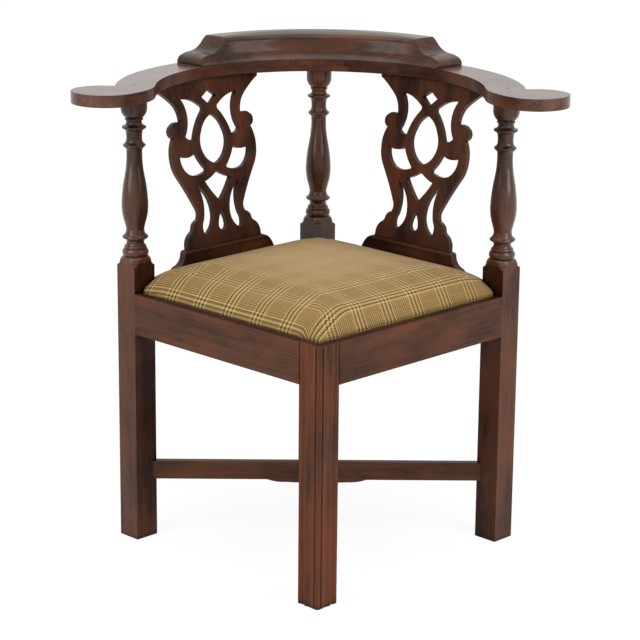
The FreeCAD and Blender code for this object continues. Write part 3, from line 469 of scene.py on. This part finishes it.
def make_check_cloth(name):
    """A wool check in a two and two twill, each yarn with its own tone and fibres, and painted
    shade between its yarns and near other parts.
    """
    shader = Shader(name)
    place, across, along = cloth_place(shader)
    bands = [check_stops(tone(222, 190, 128), tone(98, 72, 32)),
             check_stops(tone(232, 202, 132), tone(76, 58, 16))]
    rows = []
    for distance, start, stops in zip((across, along), CHECK_START, bands):
        count, number, crown = yarn_rows(shader, shader.math("SUBTRACT", distance, start), YARN)
        in_repeat = shader.math("FRACT", shader.math("DIVIDE", count, REPEAT))
        colour = shader.ramp(in_repeat, stops, True)
        own = shader.node("TexWhiteNoise", 0, {"W": number}, noise_dimensions="1D")
        colour = shader.darker(colour, shader.span(own, 0.0, 1.0, 0.88, 1.08))
        rows.append((number, crown, colour))
    (warp_number, warp_crown, warp), (weft_number, weft_crown, weft) = rows
    step = shader.math("FRACT", shader.math("DIVIDE", shader.plus(warp_number, weft_number), 4))
    on_top = shader.math("LESS_THAN", step, 0.5)
    colour = shader.mix(on_top, weft, warp)
    crown = weave_crown(shader, on_top, warp_crown, weft_crown)
    # The cloth is worn towards the middle of the top, and further to the back than to the front.
    reaches = [shader.math("MAXIMUM", shader.times(distance, -1.0), shader.times(distance, 0.6))
               for distance in (across, along)]
    reach = shader.math("MAXIMUM", *reaches)
    drift = shader.noise(place, 14, 2)
    reach = shader.plus(reach, shader.span(drift, 0.3, 0.7, -0.015, 0.015))
    worn = shader.times(shader.span(reach, 0.16, 0.02), 0.78)
    colour = shader.mix(worn, colour, tone(198, 164, 116))
    fibres = shader.noise(place, 3200, 2, 0.6)
    mottle = shader.noise(place, 55, 3)
    # Painted shade between the yarns, darker away from each yarn's middle.
    colour = shader.darker(colour, shader.span(crown, 0.0, 0.8, 0.84, 1.0))
    colour = shader.darker(colour, shader.span(fibres, 0.3, 0.7, 0.9, 1.08))
    colour = shader.darker(colour, shader.span(mottle, 0.3, 0.7, 0.95, 1.04))
    # Painted shade where other parts are near the cloth.
    colour = shader.darker(colour, shader.span(shader.closeness(0.02), 0.2, 0.9, 0.4, 1.0))
    height = shader.plus(crown, shader.times(fibres, 0.3))
    return shader.finish(Base_Color=colour, Roughness=shader.span(fibres, 0.3, 0.7, 0.82, 0.95),
                         Normal=shader.bump(height, 0.0002), Specular_IOR_Level=0.1,
                         Sheen_Weight=0.12, Sheen_Roughness=0.5)


def make_plain_weave(name, yarn, pale, dark, relief):
    """A plain weave, over one and under one, with painted shade between its yarns."""
    shader = Shader(name)
    place, across, along = cloth_place(shader)
    _, warp_number, warp_crown = yarn_rows(shader, across, yarn)
    _, weft_number, weft_crown = yarn_rows(shader, along, yarn)
    step = shader.math("FRACT", shader.math("DIVIDE", shader.plus(warp_number, weft_number), 2))
    on_top = shader.math("LESS_THAN", step, 0.25)
    crown = weave_crown(shader, on_top, warp_crown, weft_crown)
    own = shader.node("TexWhiteNoise", 0, {"W": warp_number}, noise_dimensions="1D")
    fibres = shader.noise(place, 2400, 3, 0.6)
    blend = shader.plus(shader.times(own, 0.4), shader.times(fibres, 0.6))
    colour = shader.mix(shader.span(blend, 0.25, 0.75), dark, pale)
    # Painted shade between the yarns.
    colour = shader.darker(colour, shader.span(crown, 0.0, 0.8, 0.5, 1.0))
    height = shader.plus(crown, shader.times(fibres, 0.3))
    return shader.finish(Base_Color=colour, Roughness=shader.span(fibres, 0.3, 0.7, 0.85, 0.97),
                         Normal=shader.bump(height, relief), Specular_IOR_Level=0.1)


def dress(node, material):
    NODES[node].data.materials.clear()
    NODES[node].data.materials.append(material)


def bearing(angle):
    """A level direction, by its angle from X in degrees."""
    turn = math.radians(angle)
    return (math.cos(turn), math.sin(turn), 0.0)


def dress_frame():
    """Each wooden piece is cut from its own board, with the grain along its length."""
    upright = (0.0, 0.0, 1.0)
    # Grain, light, red, polish, inner_shade, stain, painted_shade_at and, if it isn't the usual,
    # ruddy_from.
    boards = {
        "front_leg": (upright, 1.17, 1.0, 0.12, 1.0, 0.8, "top", 0.4),
        "left_leg": (upright, 0.95, 0.8, 0.8, 0.8, 0.65, "block"),
        "right_leg": (upright, 0.93, 0.8, 0.8, 0.8, 0.65, "block"),
        "back_leg": (upright, 0.72, 0.5, 0.75, 0.3, 0.65, None),
        "front_left_rail": (bearing(135), 0.85, 0.7, 0.2, 1.0, 0.93, "top"),
        "front_right_rail": (bearing(45), 0.8, 0.5, 0.2, 1.0, 0.93, "top"),
        "back_left_rail": (bearing(45), 0.9, 0.5, 0.25, 1.0, 0.8, None),
        "back_right_rail": (bearing(135), 0.9, 0.5, 0.25, 1.0, 0.8, None),
        "left_shoe": (bearing(45), 0.62, 0.9, 0.25, 0.8, 0.6, None),
        "right_shoe": (bearing(135), 0.6, 0.9, 0.25, 0.8, 0.6, None),
        "left_splat": (upright, 0.68, 1.0, 0.3, 0.6, 0.6, "foot"),
        "right_splat": (upright, 0.68, 1.0, 0.3, 0.6, 0.6, "foot"),
        "left_arm": (bearing(42), 0.92, 0.3, 0.8, 0.8, 0.85, None),
        "right_arm": (bearing(138), 0.92, 0.3, 0.75, 0.8, 0.85, None),
        "crest_rail": (bearing(0), 0.62, 0.6, 0.6, 0.35, 0.85, None),
        "side_stretcher": (bearing(0), 1.04, 0.5, 0.2, 1.0, 0.9, None),
        "front_back_stretcher": (bearing(90), 1.04, 0.5, 0.2, 1.0, 0.9, None),
    }
    for seed, (node, (grain, *look)) in enumerate(boards.items()):
        dress(node, make_polished_wood(node, grain, seed * 1.7, *look))
    dress("arm_plugs", make_polished_wood("arm_plugs", bearing(60), 51.0, 0.45, 0.2, 0.2))
    corners = {"front": 270, "left": 180, "right": 0, "back": 90}
    for seed, (corner, angle) in enumerate(corners.items()):
        node = corner + "_corner_block"
        dress(node, make_raw_wood(node, bearing(angle + 90), seed * 2.3,
                                  tone(176, 140, 100), tone(120, 88, 60)))
    rails = {"front_left": 135, "front_right": 45, "back_left": 45, "back_right": 135}
    for seed, (side, angle) in enumerate(rails.items()):
        node = side + "_seat_rail"
        dress(node, make_raw_wood(node, bearing(angle), seed * 3.1 + 9,
                                  tone(196, 160, 116), tone(150, 112, 76)))
    screws = make_steel("screw_steel", tone(170, 166, 160), tone(90, 72, 58))
    for node in ("corner_block_screws", "crest_screws", "arm_screws"):
        dress(node, screws)
    dress("cover_tacks", make_steel("tack_steel", tone(74, 78, 92), tone(40, 38, 40)))


# Seat

def make_piece(name, points, faces, material):
    mesh = bpy.data.meshes.new(name)
    mesh.from_pydata([tuple(p) for p in points], [], faces)
    mesh.materials.append(material)
    mesh.shade_smooth()
    piece = bpy.data.objects.new(name, mesh)
    SCENE.collection.objects.link(piece)
    return piece


def grid_faces(columns, rows):
    """Faces of a grid whose points are given column by column."""
    stride = rows + 1
    corners = [column * stride + row for column in range(columns) for row in range(rows)]
    return [(a, a + stride, a + stride + 1, a + 1) for a in corners]


def note_cloth(mesh, places):
    """Store where each vertex lies on the flat cloth."""
    flat = np.zeros((len(mesh.vertices), 3), np.float32)
    flat[:, :2] = places
    mesh.attributes.new("cloth", "FLOAT_VECTOR", "POINT").data.foreach_set("vector", flat.ravel())


def turned(points):
    """Points of the seat's own drawing, in the chair's frame."""
    c, s = math.cos(SEAT_TURN), math.sin(SEAT_TURN)
    x, y = points[:, 0] * c - points[:, 1] * s, points[:, 0] * s + points[:, 1] * c
    return np.column_stack([x, y, points[:, 2]])


def arc_points(centre, radius, start, end, count=8):
    angles = np.radians(np.linspace(start, end, count))
    return [(centre[0] + radius * math.cos(a), centre[1] + radius * math.sin(a)) for a in angles]


def corner_points(notched):
    """Edge of the seat from the middle of the corner at minus X, minus Y, to the side along X."""
    if not notched:
        middle = -SEAT_HALF + FRONT_ROUND
        return arc_points((middle, middle), FRONT_ROUND, 225, 270)
    centre = (-NOTCH + NOTCH_ROUND, -SEAT_HALF + NOTCH_ROUND)
    return [(-NOTCH, -NOTCH)] + arc_points(centre, NOTCH_ROUND, 180, 270)


def resampled(line, count):
    line = np.array(line)
    length = np.concatenate([[0], np.cumsum(np.linalg.norm(np.diff(line, axis=0), axis=1))])
    at = np.linspace(0, length[-1], count + 1)
    return np.column_stack([np.interp(at, length, line[:, k]) for k in (0, 1)])


def seat_rim():
    """The seat's edge in plan, anticlockwise from the front corner, with its outward normals."""
    notched = (False, True, True, True)
    sides = []
    for side in range(4):
        far = [(-x, y) for x, y in corner_points(notched[(side + 1) % 4])]
        line = resampled(corner_points(notched[side]) + far[::-1], 2 * GRID)[:-1]
        for _ in range(side):
            line = np.column_stack([-line[:, 1], line[:, 0]])
        sides.append(line)
    rim = np.vstack(sides)
    along = np.roll(rim, -1, axis=0) - np.roll(rim, 1, axis=0)
    normals = np.column_stack([along[:, 1], -along[:, 0]])
    return rim, normals / np.linalg.norm(normals, axis=1)[:, None]


def rim_index(i, j):
    """Where a cell of the grid lies round its square ring, as a number of rim points."""
    ring = max(abs(i), abs(j))
    if j == -ring and i < ring:
        side, share = 0, i / ring
    elif i == ring and j < ring:
        side, share = 1, j / ring
    elif j == ring and i > -ring:
        side, share = 2, -i / ring
    else:
        side, share = 3, -j / ring
    return (side + (share + 1) / 2) * 2 * GRID


def step_between(value, low, high):
    t = np.clip((value - low) / (high - low), 0, 1)
    return t * t * (3 - 2 * t)


def side_power(along):
    """How square a front edge of the cushion is: fuller in its middle and at the front corner."""
    middle = step_between(-np.abs(along), -0.185, -0.12)
    return SEAT_POWER + MIDDLE_POWER * middle + FRONT_POWER * step_between(-along, 0.12, 0.19)


def side_fullness(distance, along):
    power = np.where(distance < 0, side_power(along), SEAT_POWER)
    return 1 - np.minimum(np.abs(distance) / SEAT_HALF, 1) ** power


def corner_fullness(x, y):
    """Fullness towards the front corner, which is round, not creased."""
    x, y = np.minimum(np.abs(x) / SEAT_HALF, 1), np.minimum(np.abs(y) / SEAT_HALF, 1)
    near = np.maximum(x, y)
    far = (x ** CORNER_POWER + y ** CORNER_POWER) ** (1 / CORNER_POWER)
    reach = near + (far - near) * (1 - near ** 8)
    return 1 - reach ** side_power(-SEAT_HALF * np.minimum(x, y))


def fullness(x, y):
    """Share of the cushion's crown at a point: 1 in the middle, 0 at its edge."""
    sides = side_fullness(x, y) * side_fullness(y, x)
    return np.where((x < 0) & (y < 0), corner_fullness(x, y), sides)


def crown_height(x, y):
    """Height of the cushion: full in the middle, rounded over its edges and its notches."""
    full = fullness(x, y)
    height = SEAT_EDGE + (SEAT_CROWN - SEAT_EDGE) * full
    for x_sign, y_sign in ((1, -1), (1, 1), (-1, 1)):
        gap = np.hypot(np.maximum(NOTCH - x * x_sign, 0), np.maximum(NOTCH - y * y_sign, 0))
        height = height - NOTCH_DIP * (1 - step_between(gap, 0.0, NOTCH_DIP_REACH)) * full
    return height


def cloth_reach(distance, other):
    """Length of cloth from the seat's middle to a point, over the cushion."""
    steps = 200
    share = np.linspace(0, 1, steps + 1)
    at = distance[:, None] * share[None, :]
    sideways = np.repeat(other[:, None], steps + 1, axis=1)
    height = SEAT_EDGE + (SEAT_CROWN - SEAT_EDGE) * fullness(at, sideways)
    return np.sign(distance) * np.hypot(np.diff(at, axis=1), np.diff(height, axis=1)).sum(axis=1)


def cloth_places(x, y):
    """Where points of the top lie on the flat cloth, which is drawn a little over the front."""
    slip_x = CLOTH_SHIFT[0] + LEFT_PULL * step_between(-x, 0.08, 0.18)
    slip_x = slip_x * (1 - step_between(-y, 0.165, SEAT_HALF))
    slip_y = CLOTH_SHIFT[1] * (1 - step_between(-x, 0.12, 0.2))
    return np.column_stack([cloth_reach(x, y) - slip_x, cloth_reach(y, x) - slip_y])


def make_cover():
    """The cushion's cloth: a crowned top, upright sides, and a hem turned under the frame."""
    rim, normals = seat_rim()
    around = len(rim)
    points, cells = [], []
    for i in range(-GRID, GRID + 1):
        for j in range(-GRID, GRID + 1):
            cells.append((i / GRID * SEAT_HALF, j / GRID * SEAT_HALF))
            ring = max(abs(i), abs(j))
            if ring == 0:
                points.append((0.0, 0.0))
                continue
            at = rim_index(i, j)
            low = int(at) % around
            edge = rim[low] + (rim[(low + 1) % around] - rim[low]) * (at - int(at))
            share = ring / GRID
            square = np.array((i, j)) / ring * SEAT_HALF
            weight = float(step_between(share, RIM_FROM, 1.0))
            points.append(tuple(share * (square * (1 - weight) + edge * weight)))
    plan, cells = np.array(points), np.array(cells)
    at_front = (cells < 0).all(axis=1)
    x, y = np.where(at_front[:, None], cells, plan).T
    top = np.column_stack([plan, crown_height(x, y)])
    cloth = cloth_places(x, y)

    width = 2 * GRID + 1
    outer = [0] * around
    for i in range(-GRID, GRID + 1):
        for j in range(-GRID, GRID + 1):
            if max(abs(i), abs(j)) == GRID:
                outer[round(rim_index(i, j)) % around] = (i + GRID) * width + j + GRID
    faces = grid_faces(2 * GRID, 2 * GRID)

    # Rows below the top's edge, as a share of the plan and a share of the way down.
    rows = [(1.0, 0.2), (1.0, 0.45), (1.0, 0.7), (1.0, 0.86), (0.9975, 0.97), (0.99, 1.0),
            (0.965, 1.0), (0.93, 1.0), (0.89, 1.0), (0.84, 1.0), (0.776, 1.0)]
    edge_height = top[outer, 2]
    reach = np.zeros(around)
    previous = np.column_stack([rim, edge_height])
    all_points, all_cloth, above = [top], [cloth], list(outer)
    for share, down in rows:
        row = np.column_stack([rim * share, edge_height + (HEM_HEIGHT - edge_height) * down])
        reach = reach + np.linalg.norm(row - previous, axis=1)
        start = sum(len(block) for block in all_points)
        all_points.append(row)
        all_cloth.append(cloth[outer] + normals * reach[:, None])
        below = list(range(start, start + around))
        for r in range(around):
            after = (r + 1) % around
            faces.append((above[r], below[r], below[after], above[after]))
        previous, above = row, below
    return np.vstack(all_points), faces, np.vstack(all_cloth), len(top)


def inflate(piece, held, frames=20, pressure=4.0, most=0.0025):
    """Let the cloth swell under pressure, with some points held and no point moving far."""
    group = piece.vertex_groups.new(name="held")
    for index, weight in enumerate(held):
        if weight > 0:
            group.add([index], float(weight), "REPLACE")
    modifier = piece.modifiers.new("swell", "CLOTH")
    settings = modifier.settings
    settings.quality = 5
    settings.mass = 0.3
    settings.tension_stiffness = 40
    settings.compression_stiffness = 40
    settings.shear_stiffness = 20
    settings.bending_stiffness = 6
    settings.use_pressure = True
    settings.uniform_pressure_force = pressure
    settings.effector_weights.gravity = 0
    settings.vertex_group_mass = "held"
    modifier.point_cache.frame_start = 1
    modifier.point_cache.frame_end = frames
    for number in range(1, frames + 1):
        SCENE.frame_set(number)
    swollen = piece.evaluated_get(bpy.context.evaluated_depsgraph_get())
    after = np.zeros(len(piece.data.vertices) * 3)
    swollen.data.vertices.foreach_get("co", after)
    before = np.zeros_like(after)
    piece.data.vertices.foreach_get("co", before)
    piece.modifiers.remove(modifier)
    piece.vertex_groups.remove(group)
    SCENE.frame_set(1)
    move = (after - before).reshape(-1, 3)
    far = np.linalg.norm(move, axis=1)
    move *= np.minimum(1, most / np.maximum(far, 1e-9))[:, None]
    piece.data.vertices.foreach_set("co", (before.reshape(-1, 3) + move).ravel())
    piece.data.update()


def subdivide(piece):
    modifier = piece.modifiers.new("finer", "SUBSURF")
    modifier.levels = modifier.render_levels = 1
    finer = piece.evaluated_get(bpy.context.evaluated_depsgraph_get())
    mesh = bpy.data.meshes.new_from_object(finer)
    piece.modifiers.remove(modifier)
    old = piece.data
    piece.data = mesh
    bpy.data.meshes.remove(old)


def close_below(piece):
    """Give the cushion its underside, which goes round the seat frame inside the cloth."""
    shape = bmesh.new()
    shape.from_mesh(piece.data)
    # Rows as shares of the hem's inner edge and heights above the hem: inside the hem, out to the
    # seat frame's sides, and up them to just over its top.
    skin, outward, depth = 0.0009, 1.281, 0.0165
    rows = [(1.0, skin), (outward, skin), (outward, depth)]
    hem = [edge for edge in shape.edges if edge.is_boundary]
    origin = {vert: vert.co.copy() for edge in hem for vert in edge.verts}
    for share, lift in rows:
        made = bmesh.ops.extrude_edge_only(shape, edges=hem)["geom"]
        fresh = [item for item in made if isinstance(item, bmesh.types.BMVert)]
        hem = [item for item in made if isinstance(item, bmesh.types.BMEdge) and item.is_boundary]
        moved = {}
        for vert in fresh:
            joined = (other for edge in vert.link_edges for other in edge.verts if other in origin)
            source = min(joined, key=lambda other: (other.co - vert.co).length)
            start = origin[source]
            vert.co = Vector((start.x * share, start.y * share, HEM_HEIGHT + lift))
            moved[vert] = start
        origin = moved
    bmesh.ops.contextual_create(shape, geom=hem)
    bmesh.ops.recalc_face_normals(shape, faces=shape.faces)
    shape.to_mesh(piece.data)
    shape.free()


def make_cushion():
    points, faces, cloth, top_count = make_cover()
    check = make_check_cloth("checked_cloth")
    piece = make_piece("seat_cushion", points, faces, check)
    note_cloth(piece.data, cloth)
    held = np.ones(len(points))
    ring = np.maximum(*np.abs(np.indices((2 * GRID + 1, 2 * GRID + 1)) - GRID)).ravel()
    held[:top_count] = np.clip((ring - GRID + 1 + HELD_BAND) / HELD_BAND, 0, 1)
    inflate(piece, held)
    places = np.zeros(len(points) * 3)
    piece.data.vertices.foreach_get("co", places)
    places = places.reshape(-1, 3)
    places[:, :2] = np.clip(places[:, :2], -SEAT_WIDEST, SEAT_WIDEST)
    piece.data.vertices.foreach_set("co", places.ravel())
    subdivide(piece)
    close_below(piece)
    piece.data.transform(Matrix.Rotation(SEAT_TURN, 4, "Z"))
    piece.data.update()
    piece.data.shade_smooth()
    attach(piece, "drop_in_seat")
    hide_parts("seat_cover", "seat_stuffing")


def make_strap(name, row, along_x, material):
    """A jute strap, woven over and under those that cross it and nailed down at its ends."""
    rows, columns = 6, 60
    low, high = (FRAME_TOP + lift for lift in STRAP_LIFTS)
    parity = 0 if along_x else 1
    crossings = (-1, 0, 1)
    knots = [-STRAP_REACH, -STRAP_LANDING, *(k * STRAP_PITCH for k in crossings),
             STRAP_LANDING, STRAP_REACH]
    levels = [low, low, *(high if (row + k + parity) % 2 else low for k in crossings), low, low]
    points, cloth = [], []
    for column in range(columns + 1):
        u = -STRAP_REACH + 2 * STRAP_REACH * column / columns
        for step in range(rows + 1):
            v = (step / rows - 0.5) * STRAP_WIDTH
            height = np.interp(u, knots, levels) + 0.00004 * math.sin(9 * step + 5 * column)
            across = row * STRAP_PITCH + v
            points.append((u, across, height) if along_x else (across, u, height))
            cloth.append((u, v))
    faces = grid_faces(columns, rows)
    if not along_x:
        faces = [face[::-1] for face in faces]
    strap = make_piece(name, turned(np.array(points)), faces, material)
    note_cloth(strap.data, np.array(cloth))
    solid = strap.modifiers.new("thickness", "SOLIDIFY")
    solid.thickness = STRAP_THICKNESS
    solid.offset = 1.0
    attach(strap, "drop_in_seat")
    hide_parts("webbing")


def make_webbing():
    jute = make_plain_weave("jute_webbing", 0.0021, tone(178, 148, 104), tone(128, 100, 66), 0.0004)
    for row in (-1, 0, 1):
        make_strap(f"strap_across_{row + 2}", row, True, jute)
        make_strap(f"strap_along_{row + 2}", row, False, jute)


def make_dust_cloth():
    """Thin black cloth nailed under the seat, which sags a little between its nails."""
    steps = 48
    points, cloth = [], []
    for i in range(steps + 1):
        for j in range(steps + 1):
            u, v = (2 * i / steps - 1), (2 * j / steps - 1)
            belly = (1 - u ** 2) * (1 - v ** 2)
            wave_u, wave_v = (abs(math.sin(w * SCALLOP_COUNT * math.pi)) for w in (u, v))
            scallop = SCALLOP_DEPTH * (wave_u * v ** 8 + wave_v * u ** 8)
            height = DUST_CLOTH_HEIGHT - DUST_CLOTH_SAG * belly - scallop
            points.append((u * DUST_CLOTH_HALF, v * DUST_CLOTH_HALF, height))
            cloth.append((u * DUST_CLOTH_HALF, v * DUST_CLOTH_HALF))
    faces = [(a, d, c, b) for a, b, c, d in grid_faces(steps, steps)]
    black = make_plain_weave("dust_cloth", 0.0008, tone(62, 58, 54), tone(36, 34, 33), 0.00012)
    piece = make_piece("dust_sheet", turned(np.array(points)), faces, black)
    note_cloth(piece.data, np.array(cloth))
    solid = piece.modifiers.new("thickness", "SOLIDIFY")
    solid.thickness = 0.0004
    solid.offset = 1.0
    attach(piece, "drop_in_seat")
    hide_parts("dust_cloth")


make_camera()
make_world()
make_floor()
make_lights()
dress_frame()
make_cushion()
make_webbing()
make_dust_cloth()

SCENE.view_settings.view_transform = "Standard"
